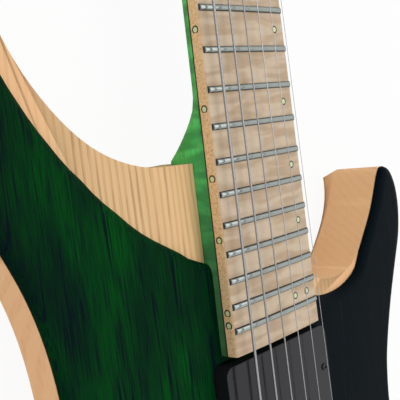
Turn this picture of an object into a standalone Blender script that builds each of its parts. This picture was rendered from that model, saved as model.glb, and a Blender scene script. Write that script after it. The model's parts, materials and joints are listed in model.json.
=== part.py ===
"""Headless electric guitar with a bolt-on neck, lying on its flat back.

Metres, +Z out of the face, +Y from the bridge to the head, +X to the treble side.
The origin is on the flat back, on the centreline, right below the saddle line.
"""
import math

import bmesh
import bpy
from mathutils import Matrix, Vector

MM = 0.001
X_AXIS = Vector((1, 0, 0))
Y_AXIS = Vector((0, 1, 0))
Z_AXIS = Vector((0, 0, 1))

# Clearances
GAP = 0.3 * MM
ROUT_GAP = 0.8 * MM
CUT_PAST = 2.0 * MM

# Scale, frets and strings
SCALE_LENGTH = 647.7 * MM
FRET_COUNT = 24
FRET_WIDTH = 2.6 * MM
FRET_CROWN = 1.2 * MM
FRET_HEIGHT = 1.1 * MM
FRET_TANG = 0.5 * MM
FRET_INSET = 0.4 * MM
FRET_END_BEVEL = 0.9 * MM
STRING_DIAMETERS = [0.25 * MM, 0.33 * MM, 0.43 * MM, 0.66 * MM, 0.91 * MM, 1.17 * MM]
STRING_SPREAD_NUT = 35.2 * MM
STRING_SPREAD_SADDLE = 52.8 * MM
STRING_SHIFT_SADDLE = 0.7 * MM
STRING_RISE_SADDLE = 5.1 * MM
STRING_COUNT = len(STRING_DIAMETERS)

# Neck and fingerboard
NUT_WIDTH = 42.6 * MM
LAST_FRET_WIDTH = 58.0 * MM
BOARD_RADIUS = 508.0 * MM
BOARD_THICKNESS = 5.7 * MM
BOARD_PAST_LAST_FRET = 10.3 * MM
BOARD_PAST_NUT = 3.0 * MM
NECK_DEPTH = 13.0 * MM
NECK_STAND = 2.8 * MM
HEEL_DEPTH = 21.7 * MM
HEEL_RAMP_START = 98.0 * MM
HEEL_RAMP_LENGTH = 29.0 * MM
NECK_PAST_NUT = 25.3 * MM
ROD_WIDTH = 6.0 * MM
ROD_DEPTH = 8.4 * MM
ROD_NUT_LENGTH = 14.0 * MM
ROD_THREAD_RADIUS = 2.0 * MM
ROD_SOCKET_RADIUS = 1.9 * MM
ROD_SETBACK = 12.0 * MM

# Body
CORE_THICKNESS = 36.4 * MM
CAP_THICKNESS = 3.3 * MM
CAP_ROLL_WIDTH = 4.5 * MM
CAP_ROLL_START = 0.5 * MM
CUTAWAY_REACH = 90.0 * MM

# Pickups
PICKUP_WIDTH = 70.0 * MM
PICKUP_LENGTH = 38.0 * MM
PICKUP_HEIGHT = 21.0 * MM
PICKUP_STAND = 6.5 * MM
PICKUP_CORNER = 4.0 * MM
NECK_PICKUP_WALL = 2.2 * MM
BRIDGE_PICKUP_CENTRE = 49.0 * MM
PICKUP_ROUT_FLOOR = 22.0 * MM
LEAD_RADIUS = 1.2 * MM
LEAD_BORE = 2.5 * MM
LEAD_HEIGHT = 23.6 * MM

# Bridge
PLATE_WIDTH = 67.0 * MM
PLATE_THICKNESS = 3.0 * MM
PLATE_FRONT = 10.0 * MM
PLATE_TAIL = 48.0 * MM
TAIL_WALL = 6.0 * MM
TAIL_WALL_HEIGHT = 12.0 * MM
RAIL_WIDTH = 2.6 * MM
RAIL_HEIGHT = 8.0 * MM
RIB_WIDTH = 0.9 * MM
RIB_HEIGHT = 4.0 * MM
BLOCK_WIDTH = 8.8 * MM
SADDLE_LENGTH = 9.0 * MM
CARRIAGE_LENGTH = 12.0 * MM
CARRIAGE_HEIGHT = 6.8 * MM
CARRIAGE_FRONT = 18.5 * MM
TUNER_HEIGHT = 7.2 * MM
TUNER_ROD_RADIUS = 1.4 * MM
TUNER_ROD_LENGTH = 24.0 * MM
TUNER_KNOB_RADIUS = 4.7 * MM
TUNER_KNOB_LENGTH = 16.0 * MM
TUNER_BORE_FLOOR = 1.0 * MM

# String locks at the head
HEAD_HEIGHT = 10.5 * MM
HEAD_TUNNEL = 3.0 * MM
LOCK_SHANK_RADIUS = 2.0 * MM
LOCK_HEAD_RADIUS = 3.0 * MM
LOCK_HEAD_HEIGHT = 3.4 * MM
LOCK_SOCKET_RADIUS = 1.5 * MM
LOCK_SETBACK = 10.0 * MM

# Controls
CAVITY_X = (48.0 * MM, 84.0 * MM)
CAVITY_Y = (-40.0 * MM, 58.0 * MM)
CAVITY_CORNER = 8.0 * MM
CAVITY_CEILING = 30.0 * MM
COVER_MARGIN = 5.0 * MM
COVER_THICKNESS = 2.2 * MM
COVER_RECESS = 0.2 * MM
VOLUME_PLACE = (68.0 * MM, 14.0 * MM)
TONE_PLACE = (68.0 * MM, -20.0 * MM)
SELECTOR_PLACE = (66.0 * MM, 43.0 * MM)
POT_CAN_RADIUS = 8.5 * MM
POT_CAN_HEIGHT = 9.5 * MM
POT_BUSH_RADIUS = 4.5 * MM
POT_NUT_RADIUS = 6.0 * MM
POT_NUT_HEIGHT = 2.0 * MM
SHAFT_RADIUS = 3.0 * MM
SHAFT_STAND = 12.0 * MM
KNOB_RADIUS = 9.5 * MM
KNOB_HEIGHT = 15.0 * MM
KNOB_LIFT = 0.7 * MM
LEVER_PIVOT_DEPTH = 18.0 * MM
LEVER_WIDTH = 5.0 * MM
LEVER_THICKNESS = 1.4 * MM
LEVER_STAND = 10.5 * MM
LEVER_SWING = math.radians(20.0)
LEVER_PIN_RADIUS = 1.2 * MM
TIP_WIDTH = 4.6 * MM
TIP_LENGTH = 9.0 * MM
TIP_LIFT = 4.0 * MM
TIP_HEIGHT = 10.0 * MM
SWITCH_WIDTH = 9.0 * MM
SWITCH_LENGTH = 26.0 * MM
SWITCH_DEPTH = 15.0 * MM

# Output jack, strap buttons and neck bolts
JACK_HEIGHT = 21.0 * MM
JACK_Y = -28.0 * MM
JACK_BORE = 3.25 * MM
JACK_BORE_DEPTH = 32.0 * MM
JACK_BARREL_RADIUS = 8.0 * MM
JACK_LENGTH = 38.0 * MM
JACK_FLANGE_RADIUS = 10.0 * MM
JACK_FLANGE = 1.8 * MM
BUTTON_HEIGHT = 22.0 * MM
BUTTON_RADIUS = 7.2 * MM
BUTTON_WAIST = 3.6 * MM
BUTTON_BASE = 5.2 * MM
BUTTON_LENGTH = 12.0 * MM
BUTTON_SCREW_RADIUS = 1.9 * MM
BUTTON_SCREW_LENGTH = 22.0 * MM
BOLT_HEAD_RADIUS = 4.7 * MM
BOLT_HEAD_HEIGHT = 3.2 * MM
BOLT_SHANK_RADIUS = 2.4 * MM
BOLT_BITE = 12.0 * MM
BOLT_SINK = 0.4 * MM
# Places of the neck bolts: across, and up from the end of the fingerboard
BOLT_PLACES = [(-18.0 * MM, 12.0 * MM), (18.0 * MM, 12.0 * MM), (-15.0 * MM, 56.0 * MM), (12.0 * MM, 36.0 * MM)]

# Heights and places that follow from the sizes above
BODY_TOP = CORE_THICKNESS + GAP + CAP_THICKNESS
NECK_TOP = BODY_TOP + NECK_STAND
POCKET_FLOOR = NECK_TOP - HEEL_DEPTH - GAP
BOARD_BOTTOM = NECK_TOP + GAP
BOARD_CROWN = BOARD_BOTTOM + BOARD_THICKNESS


def fret_y(number):
    """Distance of a fret from the saddle line, by the equal-tempered rule."""
    return SCALE_LENGTH / 2 ** (number / 12)


LAST_FRET_Y = fret_y(FRET_COUNT)
BOARD_END_Y = LAST_FRET_Y - BOARD_PAST_LAST_FRET
BOARD_HEAD_Y = SCALE_LENGTH + BOARD_PAST_NUT
NECK_HEAD_Y = SCALE_LENGTH + NECK_PAST_NUT
TUNER_Z = BODY_TOP + TUNER_HEIGHT
PLATE_TOP = BODY_TOP + GAP + PLATE_THICKNESS
PICKUP_TOP = BODY_TOP + PICKUP_STAND
NECK_PICKUP_FRONT = BOARD_END_Y - GAP - NECK_PICKUP_WALL - ROUT_GAP
LEVER_PIVOT_Z = BODY_TOP - LEVER_PIVOT_DEPTH

# Edge of the body seen from above, once round from the bass side of the neck.
# Each point: across, along, height and inset of the bevel on the back, and the
# width of bare core that the cap leaves (None below the neck, where there is no cap).
# The first list is measured along from the last fret, the second from the saddle line.
BASS_HORN = [
    (-24.0, 67.4, 8, 6, 42.0), (-38.0, 67.8, 8, 6, 36.3), (-52.0, 68.6, 8, 6, 27.0),
    (-66.5, 72.6, 8, 7, 18.6), (-79.5, 79.4, 8, 7, 13.0), (-90.9, 89.3, 8, 7, 10.4),
    (-100.9, 101.6, 8, 7, 8.8), (-108.4, 114.5, 8, 7, 8.0), (-113.6, 128.0, 8, 7, 7.0),
    (-117.8, 141.5, 8, 7, 5.5), (-122.4, 152.5, 8, 7, 3.6), (-130.5, 158.5, 8, 7, 1.6),
    (-139.0, 155.0, 9, 7, 0.4), (-144.8, 145.0, 10, 8, 0), (-147.0, 129.0, 12, 11, 0),
    (-145.4, 109.0, 16, 17, 0), (-139.4, 87.0, 19, 22, 0), (-130.6, 66.5, 21, 26, 0),
    (-121.8, 48.9, 22, 28, 0), (-115.0, 33.0, 22, 30, 0), (-110.2, 15.7, 22, 30, 0),
    (-107.4, -4.0, 22, 30, 0),
]
LOWER_BOUT = [
    (-106.8, 138.0, 22, 29, 0), (-109.2, 117.0, 20, 26, 0), (-115.8, 91.0, 17, 20, 0),
    (-126.0, 62.0, 13, 14, 0), (-136.8, 32.0, 10, 9, 0), (-144.0, 2.0, 9, 8, 0),
    (-145.5, -28.0, 9, 8, 0), (-139.5, -56.0, 9, 8, 0), (-126.0, -78.0, 9, 8, 0),
    (-106.0, -92.5, 9, 8, 0), (-85.0, -96.5, 9, 8, 0), (-68.5, -91.0, 9, 8, 0),
    (-58.5, -78.0, 9, 7, 0), (-52.5, -63.5, 9, 6, 0), (-43.0, -54.5, 9, 5, 0),
    (-24.0, -51.0, 9, 5, 0), (0.0, -50.0, 9, 5, 0), (24.0, -51.0, 9, 5, 0),
    (43.0, -54.5, 9, 5, 0), (52.5, -63.5, 9, 6, 0), (58.5, -78.0, 9, 7, 0),
    (68.5, -91.0, 9, 8, 0), (85.0, -96.5, 9, 8, 0), (106.0, -92.5, 9, 8, 0),
    (126.0, -77.0, 9, 8, 0), (139.0, -54.0, 9, 8, 0), (143.5, -28.0, 9, 8, 0),
    (140.5, -4.0, 9, 8, 0), (130.0, 20.0, 9, 8, 0), (115.5, 43.0, 9, 8, 0),
    (104.0, 64.0, 9, 8, 0), (98.4, 86.0, 9, 8, 0),
]
TREBLE_HORN = [
    (99.6, -55.0, 10, 8, 0), (103.1, -40.9, 10, 8, 0), (110.6, -21.2, 10, 8, 0),
    (119.4, -2.6, 10, 8, 0), (126.0, 11.4, 10, 8, 0), (128.8, 25.5, 10, 8, 0),
    (127.9, 37.5, 10, 6, 0), (124.2, 45.6, 10, 4, 0), (118.6, 49.2, 10, 4, 0),
    (113.4, 47.2, 10, 6, 0), (107.9, 37.9, 10, 10, 0), (102.2, 28.2, 10, 11, 0),
    (94.7, 19.0, 10, 11, 0), (86.3, 10.2, 10, 11, 0.6), (79.6, 4.9, 10, 11, 3.2),
    (72.6, 2.4, 10, 11, 4.4), (64.0, 1.6, 10, 11, 5.8), (54.5, 2.5, 10, 10, 7.2),
    (46.5, 5.0, 9, 8, 8.6), (38.0, 9.5, 8, 6, 10.0), (31.0, 17.0, 8, 5, 11.0),
    (25.0, 28.0, 7, 5, 11.0), (15.0, 46.0, 7, 5, None), (2.0, 60.0, 7, 5, None),
    (-12.0, 66.8, 7, 5, None),
]
EDGE_STEPS = 3

COLLECTION = bpy.data.collections.new("headless_guitar")
CUTTERS = bpy.data.collections.new("cutters")


def clear_scene():
    for item in list(bpy.data.objects):
        bpy.data.objects.remove(item, do_unlink=True)
    for collection in (COLLECTION, CUTTERS):
        bpy.context.scene.collection.children.link(collection)


def finish_material(name, colour, roughness, metallic=0.0):
    material = bpy.data.materials.new(name)
    material.use_nodes = True
    shader = material.node_tree.nodes["Principled BSDF"]
    shader.inputs["Base Color"].default_value = (*colour, 1.0)
    shader.inputs["Roughness"].default_value = roughness
    shader.inputs["Metallic"].default_value = metallic
    return material


MATERIALS = {
    "core": finish_material("natural_ash", (0.66, 0.46, 0.27), 0.5),
    "cap": finish_material("green_stained_ash", (0.0, 0.06, 0.015), 0.4),
    "neck": finish_material("green_stained_maple", (0.07, 0.3, 0.06), 0.45),
    "board": finish_material("flamed_maple", (0.58, 0.42, 0.26), 0.5),
    "strings": finish_material("string_steel", (0.6, 0.6, 0.62), 0.3, 1.0),
    "hardware": finish_material("black_anodised", (0.02, 0.02, 0.022), 0.4, 0.8),
    "plastic": finish_material("black_plastic", (0.02, 0.02, 0.025), 0.25),
    "steel": finish_material("steel", (0.55, 0.55, 0.56), 0.3, 1.0),
    "brass": finish_material("brass", (0.7, 0.5, 0.2), 0.3, 1.0),
    "lead": finish_material("lead_jacket", (0.03, 0.03, 0.03), 0.6),
}


def add_object(name, mesh, finish, origin=(0, 0, 0)):
    """Link a mesh given in world places as an object whose origin is where it is asked for."""
    mesh.transform(Matrix.Translation(-Vector(origin)))
    item = bpy.data.objects.new(name, mesh)
    item.location = origin
    if finish is None:
        item.hide_render = True
        item.display_type = "WIRE"
        CUTTERS.objects.link(item)
    else:
        mesh.materials.append(MATERIALS[finish])
        COLLECTION.objects.link(item)
    return item


def mesh_from(name, bm):
    bmesh.ops.recalc_face_normals(bm, faces=bm.faces)
    mesh = bpy.data.meshes.new(name)
    bm.to_mesh(mesh)
    bm.free()
    mesh.shade_smooth()
    mesh.set_sharp_from_angle(angle=math.radians(30))
    return mesh


def block(name, low, high, finish=None, origin=(0, 0, 0)):
    bm = bmesh.new()
    bmesh.ops.create_cube(bm, size=1.0)
    low, high = Vector(low), Vector(high)
    size = high - low
    bmesh.ops.scale(bm, vec=size, verts=bm.verts)
    bmesh.ops.translate(bm, vec=(low + high) / 2, verts=bm.verts)
    return add_object(name, mesh_from(name, bm), finish, origin)


def rod(name, start, end, radius, finish=None, origin=(0, 0, 0), sides=20):
    """Round rod from one point to another."""
    start, end = Vector(start), Vector(end)
    turn = Z_AXIS.rotation_difference(end - start).to_matrix().to_4x4()
    bm = bmesh.new()
    bmesh.ops.create_cone(bm, cap_ends=True, segments=sides, radius1=radius, radius2=radius,
                          depth=(end - start).length, matrix=Matrix.Translation((start + end) / 2) @ turn)
    return add_object(name, mesh_from(name, bm), finish, origin)


def loft(name, rings, finish=None, origin=(0, 0, 0)):
    """Closed solid through rings with the same number of points."""
    bm = bmesh.new()
    loops = [[bm.verts.new(point) for point in ring] for ring in rings]
    count = len(loops[0])
    for lower, upper in zip(loops, loops[1:]):
        for i in range(count):
            j = (i + 1) % count
            bm.faces.new((lower[i], lower[j], upper[j], upper[i]))
    bm.faces.new(reversed(loops[0]))
    bm.faces.new(loops[-1])
    return add_object(name, mesh_from(name, bm), finish, origin)


def turned(name, profile, origin, axis, finish, steps=20):
    """Turned piece: radius and height pairs, down the outer side, about an axis through its origin."""
    mesh = bpy.data.meshes.new(name)
    points = [(radius, 0, height) for radius, height in profile]
    closed = profile[0][0] > 0
    edges = [(i, i + 1) for i in range(len(points) - 1)]
    if closed:
        edges.append((len(points) - 1, 0))
    mesh.from_pydata(points, edges, [])
    item = bpy.data.objects.new(name, mesh)
    item.rotation_mode = "QUATERNION"
    item.rotation_quaternion = Z_AXIS.rotation_difference(Vector(axis))
    item.location = origin
    mesh.materials.append(MATERIALS[finish])
    COLLECTION.objects.link(item)
    screw = item.modifiers.new("turn", "SCREW")
    screw.steps = screw.render_steps = steps
    screw.use_merge_vertices = True
    screw.merge_threshold = 0.00001
    screw.use_smooth_shade = True
    return item


def plate(name, outline, low, high, finish=None, origin=(0, 0, 0), turn=None):
    """Flat outline with a thickness, drawn as a 2D curve and made a mesh."""
    curve = bpy.data.curves.new(name, "CURVE")
    curve.dimensions = "2D"
    curve.fill_mode = "BOTH"
    curve.extrude = (high - low) / 2
    spline = curve.splines.new("POLY")
    spline.points.add(len(outline) - 1)
    for point, (x, y) in zip(spline.points, outline):
        point.co = (x, y, 0, 1)
    spline.use_cyclic_u = True
    guide = bpy.data.objects.new(name + "_outline", curve)
    bpy.context.scene.collection.objects.link(guide)
    bpy.context.view_layer.update()
    shape = guide.evaluated_get(bpy.context.evaluated_depsgraph_get())
    bm = bmesh.new()
    bm.from_mesh(bpy.data.meshes.new_from_object(shape))
    bpy.data.objects.remove(guide, do_unlink=True)
    bmesh.ops.remove_doubles(bm, verts=bm.verts, dist=0.00001)
    bmesh.ops.translate(bm, vec=(0, 0, (low + high) / 2), verts=bm.verts)
    if turn:
        bmesh.ops.transform(bm, matrix=turn, verts=bm.verts)
    return add_object(name, mesh_from(name, bm), finish, origin)


def tube(name, points, radius, finish, sides=2):
    """Round wire through points, with closed ends."""
    curve = bpy.data.curves.new(name, "CURVE")
    curve.dimensions = "3D"
    curve.bevel_depth = radius
    curve.bevel_resolution = sides
    curve.use_fill_caps = True
    spline = curve.splines.new("POLY")
    spline.points.add(len(points) - 1)
    for point, place in zip(spline.points, points):
        point.co = (*place, 1)
    item = bpy.data.objects.new(name, curve)
    curve.materials.append(MATERIALS[finish])
    COLLECTION.objects.link(item)
    return item


def boolean(item, tool, operation="DIFFERENCE"):
    change = item.modifiers.new(tool.name, "BOOLEAN")
    change.operation = operation
    change.object = tool
    change.solver = "EXACT"


def bevel(item, width, segments=2):
    rounding = item.modifiers.new("edge_rounding", "BEVEL")
    rounding.width = width
    rounding.segments = segments
    rounding.limit_method = "ANGLE"
    rounding.angle_limit = math.radians(40)


def rounded_rectangle(x_range, y_range, radius, steps=4):
    """Corner points of a rectangle with round corners, anticlockwise."""
    points = []
    corners = [(x_range[1], y_range[1], 0), (x_range[0], y_range[1], 90),
               (x_range[0], y_range[0], 180), (x_range[1], y_range[0], 270)]
    for x, y, start in corners:
        middle_x = x - radius if start in (0, 270) else x + radius
        middle_y = y - radius if start in (0, 90) else y + radius
        for step in range(steps + 1):
            angle = math.radians(start + 90 * step / steps)
            points.append((middle_x + radius * math.cos(angle), middle_y + radius * math.sin(angle)))
    return points


def half_width(y):
    """Half the fingerboard's width at a place along the neck."""
    share = (SCALE_LENGTH - y) / (SCALE_LENGTH - LAST_FRET_Y)
    return (NUT_WIDTH + (LAST_FRET_WIDTH - NUT_WIDTH) * share) / 2


def board_z(x):
    """Height of the cambered fingerboard."""
    return BOARD_CROWN - BOARD_RADIUS + math.sqrt(BOARD_RADIUS ** 2 - x ** 2)


def smooth_share(value, start, end):
    """Share from 0 to 1 that eases in and out between two places."""
    share = min(max((value - start) / (end - start), 0.0), 1.0)
    return share * share * (3 - 2 * share)


def smooth_edge():
    """The body's edge as points of a closed smooth curve, with outward normals."""
    table = [(x, LAST_FRET_Y / MM + y, *rest) for x, y, *rest in BASS_HORN]
    table += LOWER_BOUT
    table += [(x, LAST_FRET_Y / MM + y, *rest) for x, y, *rest in TREBLE_HORN]
    count = len(table)
    samples = []
    for i in range(count):
        before, here, after, beyond = (table[(i + k) % count] for k in (-1, 0, 1, 2))
        for step in range(EDGE_STEPS):
            t = step / EDGE_STEPS
            weights = ((-t ** 3 + 2 * t ** 2 - t) / 2, (3 * t ** 3 - 5 * t ** 2 + 2) / 2,
                       (-3 * t ** 3 + 4 * t ** 2 + t) / 2, (t ** 3 - t ** 2) / 2)
            row = []
            for column in range(4):
                row.append(sum(w * p[column] for w, p in zip(weights, (before, here, after, beyond))))
            bare = [here[4], after[4]]
            if None in bare:
                row.append(None if here[4] is None or step else here[4])
            else:
                row.append(bare[0] + (bare[1] - bare[0]) * t)
            samples.append(row)
    count = len(samples)
    edge = []
    for i, (x, y, height, inset, bare) in enumerate(samples):
        ahead, behind = samples[(i + 1) % count], samples[i - 1]
        along = Vector((ahead[0] - behind[0], ahead[1] - behind[1])).normalized()
        out = Vector((along.y, -along.x))
        bare_width = None if bare is None else bare * MM
        edge.append((Vector((x, y)) * MM, out, height * MM, inset * MM, bare_width))
    return edge


EDGE = smooth_edge()


def edge_at(test):
    """The edge sample that is furthest along a given direction."""
    return max(EDGE, key=lambda sample: test(sample[0]))


JACK_FACE_X = edge_at(lambda p: p.x if abs(p.y - JACK_Y) < 20 * MM else -1.0)[0].x - 0.2 * MM
HORN_BUTTON = edge_at(lambda p: p.y)[0]
TAIL_BUTTON = edge_at(lambda p: -p.y if p.x < 0 else -1.0)[0]


def pocket_cutter():
    near, far = BOARD_END_Y - GAP, LAST_FRET_Y + CUTAWAY_REACH
    wide, narrow = half_width(near) + GAP, half_width(far) + GAP
    outline = [(-wide, near), (wide, near), (narrow, far), (-narrow, far)]
    return plate("neck_pocket", outline, POCKET_FLOOR, BOARD_CROWN + CUT_PAST)


def pickup_range(front):
    return (front - PICKUP_LENGTH, front)


def pickup_cutter(name, front):
    y_range = pickup_range(front)
    half = PICKUP_WIDTH / 2 + ROUT_GAP
    outline = rounded_rectangle((-half, half), (y_range[0] - ROUT_GAP, y_range[1] + ROUT_GAP),
                                PICKUP_CORNER + ROUT_GAP)
    return plate(name, outline, PICKUP_ROUT_FLOOR, BODY_TOP + CUT_PAST)


BRIDGE_PICKUP_FRONT = BRIDGE_PICKUP_CENTRE + PICKUP_LENGTH / 2


def body_cutters():
    """Routs that go through the cap into the core."""
    tools = [pocket_cutter(), pickup_cutter("neck_pickup_rout", NECK_PICKUP_FRONT),
             pickup_cutter("bridge_pickup_rout", BRIDGE_PICKUP_FRONT)]
    for name, (x, y) in (("volume_hole", VOLUME_PLACE), ("tone_hole", TONE_PLACE)):
        tools.append(rod(name, (x, y, CAVITY_CEILING - CUT_PAST), (x, y, BODY_TOP + CUT_PAST),
                         POT_BUSH_RADIUS + GAP))
    x, y = SELECTOR_PLACE
    reach = math.tan(LEVER_SWING) * LEVER_PIVOT_DEPTH + LEVER_WIDTH / 2 + 1.2 * MM
    across = LEVER_THICKNESS / 2 + GAP
    tools.append(block("selector_slot", (x - across, y - reach, CAVITY_CEILING - CUT_PAST),
                       (x + across, y + reach, BODY_TOP + CUT_PAST)))
    return tools


def body_core(shared):
    rings = []
    for share, level in ((1.0, 0.0), (0.0, 1.0)):
        rings.append([(*(p - out * inset * share), height * level) for p, out, height, inset, bare in EDGE])
    rings.append([(*p, CORE_THICKNESS) for p, out, height, inset, bare in EDGE])
    core = loft("body_core", rings, "core")
    for tool in shared:
        boolean(core, tool)
    boolean(core, plate("control_cavity", rounded_rectangle(CAVITY_X, CAVITY_Y, CAVITY_CORNER),
                        -CUT_PAST, CAVITY_CEILING))
    boolean(core, plate("cover_recess", cover_outline(0.0), -CUT_PAST,
                        COVER_THICKNESS + GAP + COVER_RECESS))
    for x, y in BOLT_PLACES:
        place = (x, BOARD_END_Y + y)
        name = "bolt_hole_%d" % (BOLT_PLACES.index((x, y)) + 1)
        boolean(core, rod(name, (*place, -CUT_PAST), (*place, POCKET_FLOOR + CUT_PAST), BOLT_SHANK_RADIUS + GAP))
        boolean(core, rod(name + "_head", (*place, -CUT_PAST), (*place, BOLT_SINK + BOLT_HEAD_HEIGHT + GAP),
                          BOLT_HEAD_RADIUS + GAP))
    jack = (JACK_FACE_X, JACK_Y, JACK_HEIGHT)
    boolean(core, rod("jack_recess", jack_point(CUT_PAST), jack_point(-JACK_FLANGE - GAP),
                      JACK_FLANGE_RADIUS + GAP, sides=28))
    boolean(core, rod("jack_hole", jack_point(CUT_PAST), jack_point(-JACK_LENGTH - GAP),
                      JACK_BARREL_RADIUS + GAP, sides=24))
    boolean(core, rod("jack_channel", (CAVITY_X[1] - CUT_PAST, jack[1], jack[2]),
                      jack_point(-JACK_LENGTH + CUT_PAST), LEAD_BORE, sides=12))
    for name, place, out in (("horn", HORN_BUTTON, Y_AXIS), ("tail", TAIL_BUTTON, -Y_AXIS)):
        surface = Vector((*place, BUTTON_HEIGHT))
        boolean(core, rod(name + "_screw_hole", surface + out * CUT_PAST,
                          surface - out * (BUTTON_SCREW_LENGTH + GAP), BUTTON_SCREW_RADIUS + GAP, sides=12))
    neck_rout_end = pickup_range(NECK_PICKUP_FRONT)[0]
    lead_x = PICKUP_WIDTH / 4
    boolean(core, rod("lead_channel_1", (lead_x, neck_rout_end + CUT_PAST, LEAD_HEIGHT),
                      (lead_x, BRIDGE_PICKUP_FRONT - CUT_PAST, LEAD_HEIGHT), LEAD_BORE, sides=12))
    boolean(core, rod("lead_channel_2", (PICKUP_WIDTH / 2 - CUT_PAST, BRIDGE_PICKUP_CENTRE, LEAD_HEIGHT),
                      (CAVITY_X[0] + CUT_PAST, BRIDGE_PICKUP_CENTRE, LEAD_HEIGHT), LEAD_BORE, sides=12))


def jack_point(depth):
    return Vector((JACK_FACE_X + depth, JACK_Y, JACK_HEIGHT))


def cover_outline(inset):
    grow = COVER_MARGIN - inset
    return rounded_rectangle((CAVITY_X[0] - grow, CAVITY_X[1] + grow),
                             (CAVITY_Y[0] - grow, CAVITY_Y[1] + grow), CAVITY_CORNER + grow)


def body_top(shared):
    """Cap with a rolled edge; it stops short of the cutaways and leaves bare core there."""
    rows = [row for row in EDGE if row[4] is not None]
    start = next(i for i in range(len(EDGE)) if EDGE[i][4] is not None and EDGE[i - 1][4] is None)
    rows = [EDGE[(start + i) % len(EDGE)] for i in range(len(EDGE))]
    rows = [row for row in rows if row[4] is not None]
    bottom = CORE_THICKNESS + GAP
    rise = CAP_THICKNESS - CAP_ROLL_START
    rings = [[(*(p - out * bare), bottom) for p, out, height, inset, bare in rows]]
    for angle in (0, 30, 60, 90):
        roll = CAP_ROLL_WIDTH * (1 - math.cos(math.radians(angle)))
        level = bottom + CAP_ROLL_START + rise * math.sin(math.radians(angle))
        rings.append([(*(p - out * (bare + roll)), level) for p, out, height, inset, bare in rows])
    cap = loft("body_top", rings, "cap")
    for tool in shared:
        boolean(cap, tool)


def neck_ring(y):
    """Section of the neck: flat on top, with a round back that squares up into the heel."""
    half = half_width(y)
    ramp = (LAST_FRET_Y + HEEL_RAMP_START - y) / HEEL_RAMP_LENGTH
    heel_share = min(max(ramp, 0.0), 1.0) ** 3
    depth = NECK_DEPTH + (HEEL_DEPTH - NECK_DEPTH) * heel_share
    treble_share = smooth_share(y, LAST_FRET_Y + 95 * MM, LAST_FRET_Y + 15 * MM)
    ring = []
    steps = 16
    for step in range(steps + 1):
        angle = math.pi * step / steps
        share = heel_share if step < steps / 2 else treble_share
        power = 2 / (1.8 + 8.2 * share)
        across = -math.copysign(abs(math.cos(angle)) ** power, math.cos(angle))
        ring.append((half * across, y, NECK_TOP - depth * math.sin(angle) ** power if 0 < step < steps else NECK_TOP))
    return ring


def neck():
    heel = [BOARD_END_Y, LAST_FRET_Y + 15 * MM]
    heel += [LAST_FRET_Y + step * MM for step in (40, 69, 70.5, 72, 74, 76, 78.5, 81, 84, 88, 93, 98)]
    shaft = [fret_y(12), fret_y(7), fret_y(3), NECK_HEAD_Y]
    item = loft("neck", [neck_ring(y) for y in heel + shaft], "neck")
    half = ROD_WIDTH / 2 + GAP
    floor = NECK_TOP - ROD_DEPTH - 3 * GAP
    boolean(item, block("rod_channel", (-half, BOARD_END_Y + ROD_SETBACK, floor),
                        (half, NECK_HEAD_Y + CUT_PAST, NECK_TOP + CUT_PAST)))
    for i, (x, y) in enumerate(BOLT_PLACES):
        low = NECK_TOP - HEEL_DEPTH
        place = (x, BOARD_END_Y + y)
        boolean(item, rod("heel_hole_%d" % (i + 1), (*place, low - CUT_PAST), (*place, low + BOLT_BITE + GAP),
                          BOLT_SHANK_RADIUS + GAP))


def fingerboard():
    def section(y):
        half = half_width(y)
        ring = [(-half, y, BOARD_BOTTOM), (half, y, BOARD_BOTTOM)]
        steps = 8
        for step in range(steps + 1):
            x = half * (1 - 2 * step / steps)
            ring.append((x, y, board_z(x)))
        return ring

    board = loft("fingerboard", [section(BOARD_HEAD_Y), section(BOARD_END_Y)], "board")
    for number in range(FRET_COUNT + 1):
        boolean(board, fret(number), "UNION")


def fret(number):
    y = fret_y(number)
    half = half_width(y) - FRET_INSET
    flat = half - FRET_END_BEVEL
    rings = []
    for x, rise in ((-half, 0.3), (-flat, 1.0), (-flat / 3, 1.0), (flat / 3, 1.0), (flat, 1.0), (half, 0.3)):
        base, top = board_z(x) - FRET_TANG, board_z(x) + FRET_HEIGHT * rise
        rings.append([(x, y - FRET_WIDTH / 2, base), (x, y - FRET_CROWN / 2, top),
                      (x, y + FRET_CROWN / 2, top), (x, y + FRET_WIDTH / 2, base)])
    return loft("fret_%02d" % number, rings)


def truss_rod():
    low = NECK_TOP - ROD_DEPTH - 2 * GAP
    middle = low + ROD_WIDTH / 2
    nut_end = NECK_HEAD_Y - 1.0 * MM
    nut_start = nut_end - ROD_NUT_LENGTH
    bar_end = nut_start - 2 * GAP
    item = block("truss_rod", (-ROD_WIDTH / 2, BOARD_END_Y + ROD_SETBACK + GAP, low),
                 (ROD_WIDTH / 2, bar_end, low + ROD_DEPTH), "steel")
    boolean(item, rod("rod_thread", (0, bar_end - CUT_PAST, middle), (0, nut_start + 8 * MM, middle),
                      ROD_THREAD_RADIUS, sides=12), "UNION")
    nut = rod("truss_rod_nut", (0, nut_start, middle), (0, nut_end, middle), ROD_WIDTH / 2, "brass",
              (0, nut_end, middle))
    boolean(nut, rod("nut_bore", (0, nut_start - CUT_PAST, middle), (0, nut_start + 8.5 * MM, middle),
                     ROD_THREAD_RADIUS + GAP, sides=12))
    boolean(nut, rod("nut_socket", (0, nut_end - 4 * MM, middle), (0, nut_end + CUT_PAST, middle),
                     ROD_SOCKET_RADIUS, sides=6))


def string_x(number, y):
    """Place across of a string; number 0 is the thinnest, on the treble side."""
    share = (SCALE_LENGTH - y) / SCALE_LENGTH
    step = 0.5 - number / (STRING_COUNT - 1)
    at_nut = STRING_SPREAD_NUT * step
    at_saddle = STRING_SPREAD_SADDLE * step + STRING_SHIFT_SADDLE
    return at_nut + (at_saddle - at_nut) * share


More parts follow.
